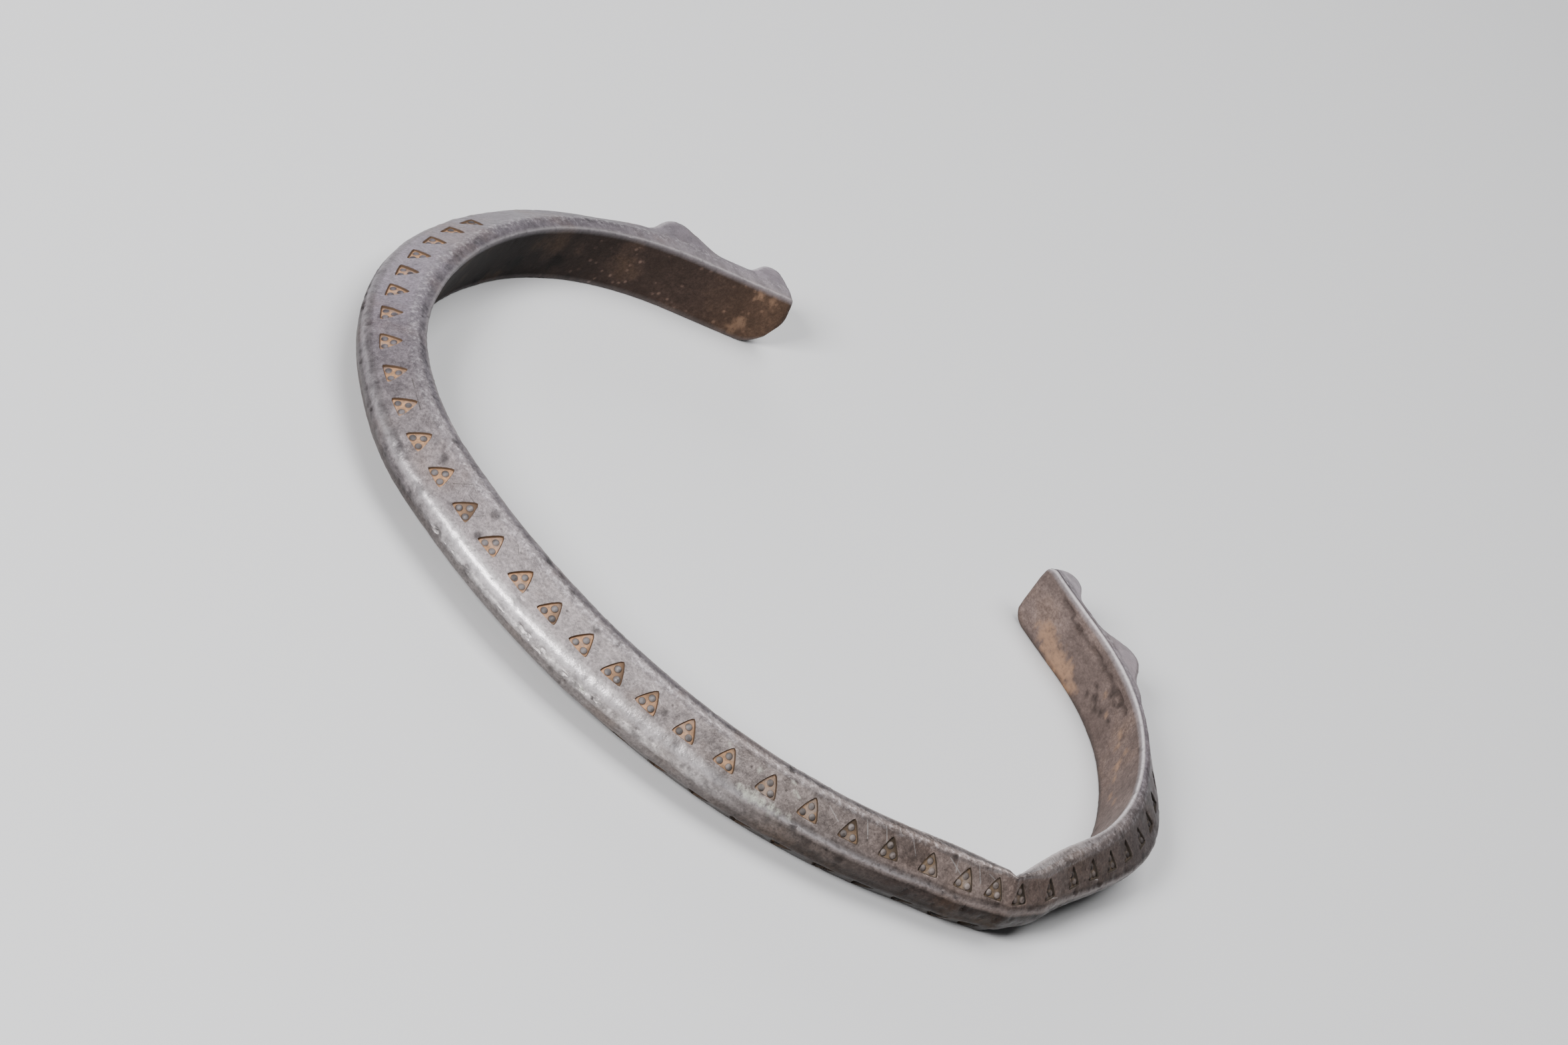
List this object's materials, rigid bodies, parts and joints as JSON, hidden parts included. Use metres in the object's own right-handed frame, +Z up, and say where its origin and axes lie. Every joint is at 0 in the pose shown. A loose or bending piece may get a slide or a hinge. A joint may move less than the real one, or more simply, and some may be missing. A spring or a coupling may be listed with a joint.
{
  "type": "bracelet",
  "caption": "Open forged metal bracelet: an oval bent bar, flat inside and bevelled outside, with a sharp crease, knobbed ends and rows of punched triangles.",
  "frame": {"origin": "centre of the bounding box, on the surface the bracelet lies on", "axes": "+Z up out of the surface, +Y towards the gap between the knobbed ends, +X towards the crease"},
  "size_m": [0.0694, 0.059, 0.0054],
  "materials": {
    "tarnished_silver": "tarnished old silver, grey with brown patina, worn bright along the outer ridge"
  },
  "bodies": {
    "root": {"bracelet": "tarnished_silver"}
  },
  "joints": []
}
